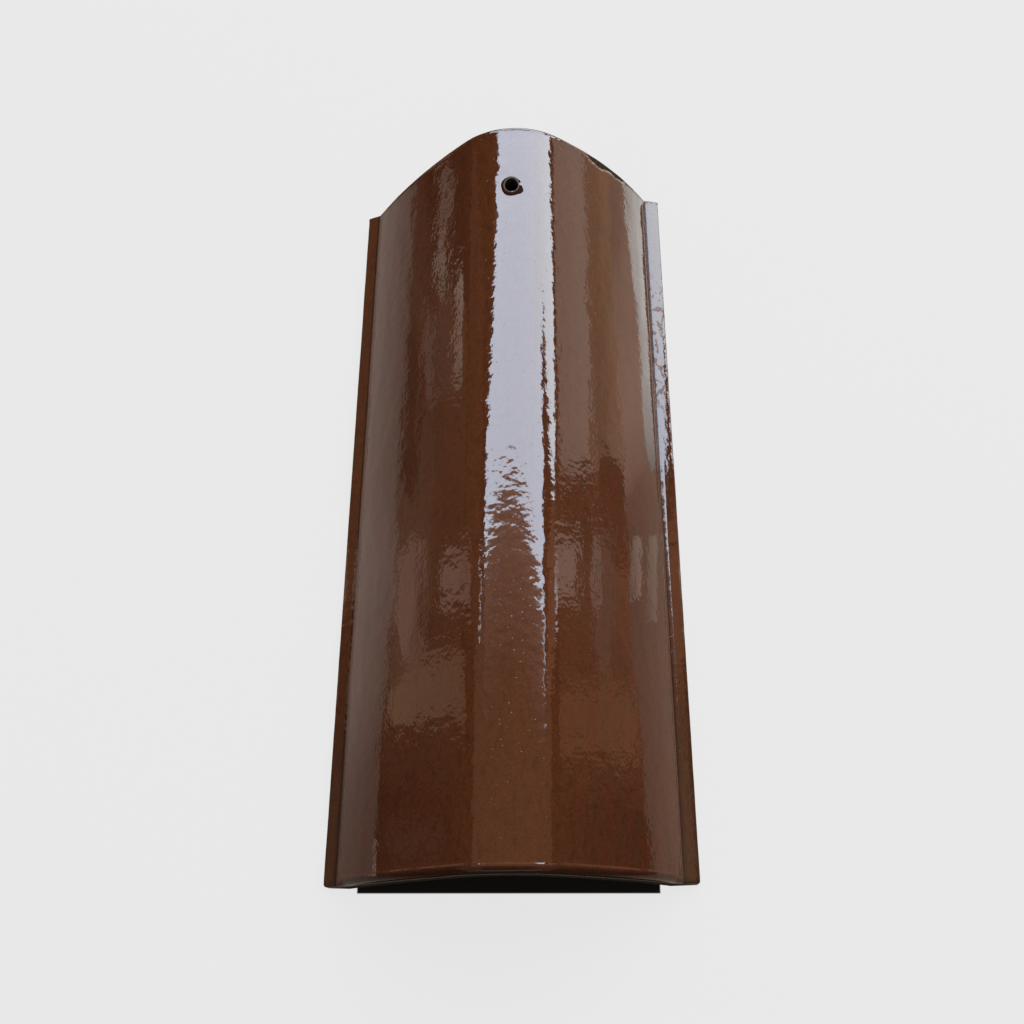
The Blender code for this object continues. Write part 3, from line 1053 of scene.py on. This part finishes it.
def glaze_brown(finish, place, y):
    """The glaze's brown: a little lighter on the crown as painted light from above, clouded red and olive on
    the flanks, stained on the lips, with painted highlights along the feet and the head's edge, and painted
    shade in the grooves and on the nose's front.
    """
    steepness = finish.attribute("steepness")
    cloud = finish.noise(place, 0.035, 2.0)
    hue = finish.noise(finish.stretched(place, (1.0, 0.4, 1.0)), 0.012, 3.0).smooth(0.38, 0.62)
    flank = finish.mix(hue, FLANK_OLIVE, FLANK_RED)
    # From crown to flank by steepness: the crown painted lighter, as painted light from above
    brown = finish.mix((steepness + (cloud - 0.5) * 0.6).smooth(0.10, 0.90), CROWN_BROWN, flank)
    mottle = finish.noise(finish.stretched(place, (1.0, 0.45, 1.0)), 0.0034, 3.0).smooth(0.48, 0.80)
    brown = finish.mix(mottle * 0.45, brown, DEEP_BROWN)
    drawn = finish.noise(finish.stretched(place, (1.0, 0.55, 1.0)), 0.0022, 3.0).smooth(0.35, 0.72)
    brown = finish.mix(drawn * (0.10 + steepness * 0.14), brown, DEEP_BROWN)
    speckle = finish.noise(place, 0.0013, 2.0).smooth(0.38, 0.68)
    brown = finish.mix(speckle * 0.34, brown, DEEP_BROWN)
    stain = finish.noise(finish.stretched(place, (1.0, 0.5, 1.0)), 0.0045, 3.0).smooth(0.35, 0.65)
    stained = finish.attribute("lip_stain") * (stain * 0.30 + y.smooth(-0.07, -0.17) * 0.45)
    brown = finish.mix(stained, brown, LIP_STAIN)
    # Painted highlights: pale lines along the feet's ridges and along the glaze's edge at the head
    brown = finish.mix(finish.attribute("pale_line") * (0.35 + stain * 0.45), brown, HIGHLIGHT_PALE)
    brown = finish.mix(finish.cells(place, 0.0052).smooth(0.085, 0.040) * 0.8, brown, IRON_SPECK)
    # Painted shade: a dark line along each groove, and the front of the nose darkened
    return finish.mix(finish.attribute("dark_glaze") * 0.9, brown, SHADE_BROWN)


def bare_body(finish, grain, y, reach, ring, wear):
    """The bare body: pale at the tail's edge, brown where the glaze crept back, dark around the hole."""
    body = finish.mix(grain.smooth(0.35, 0.75), BODY_DARK, BODY_PALE)
    body = finish.mix(reach.smooth(-0.0026, -0.0012) * y.smooth(-0.10, -0.20), body, TAIL_CLAY)
    crept = finish.mix(grain.smooth(0.35, 0.70), CREPT_DARK, CREPT_PALE)
    body = finish.mix(reach.smooth(-0.0085, -0.0070) * y.smooth(0.200, 0.212), body, crept)
    body = finish.mix(ring, body, RING_DARK)
    return finish.mix(wear * reach.smooth(-0.0002, 0.0004) * (0.6 + grain * 0.8), body, WORN_RIM)


def fine_bumps(finish, place, glazed, grain):
    """Height of what is too fine for the mesh: ripples, peel and beads on the glaze, grain on the body."""
    ripples = finish.noise(finish.stretched(place, (1.2, 1.0, 1.2)), 0.0022) * FINE_RIPPLE
    peel = finish.noise(place, 0.0009) * PEEL
    beads = finish.cells(place, 0.0038).smooth(0.100, 0.0) * BEADS
    return glazed * (ripples + peel + beads) + (1.0 - glazed) * grain * BODY_GRAIN


def glaze():
    """Brown glaze over a dark body, with the body bare past the glaze's ragged edge."""
    finish = Finish("brown_glaze")
    place = finish.place()
    x = finish.axis("X")
    y = finish.axis("Y")
    wear = finish.attribute("wear")
    reach = finish.attribute("glaze_reach")
    lip = finish.attribute("lip_stain").smooth(0.1, 0.4)
    fray = finish.noise(place, 0.0016, 2.0) - 0.5
    grain = finish.noise(place, 0.0011, 4.0)
    ring = (finish.attribute("hole_ring") + fray * 0.8).smooth(0.30, 0.50)
    glazed = (reach + fray * 0.0014).smooth(-0.00012, 0.00012) * (1.0 - ring) * (1.0 - wear)
    glazed = glazed * (1.0 - lip * 0.08)
    cloudy = finish.noise(place, 0.006, 2.0) * CLOUDY_ROUGHNESS
    roughness = GLAZE_ROUGHNESS + cloudy + lip_pits(finish, place, x, y, lip) * PIT_ROUGHNESS
    height = fine_bumps(finish, place, glazed, grain)
    bumps = {"Strength": 1.0, "Distance": 1.0, "Height": height}
    normal = finish.node("ShaderNodeBump", {}, bumps, "Normal")
    clay = finish.node("ShaderNodeBsdfPrincipled", {}, {
        "Base Color": bare_body(finish, grain, y, reach, ring, wear), "Roughness": BODY_ROUGHNESS,
        "Specular IOR Level": 0.0, "Normal": normal}, "BSDF")
    coat = finish.node("ShaderNodeBsdfPrincipled", {}, {
        "Base Color": glaze_brown(finish, place, y), "Roughness": roughness, "IOR": GLAZE_IOR,
        "Normal": normal}, "BSDF")
    return finish.finish(finish.node("ShaderNodeMixShader", {}, {0: glazed, 1: clay, 2: coat}))


bpy.context.scene.view_settings.view_transform = "Standard"
tile = make_tile()
tile.data.materials.append(glaze())
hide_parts("verge_tile")
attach(tile, "root")
make_floor()
place_camera()
window_cards()
left_cards()
right_cards()
back_cards()
light_world()
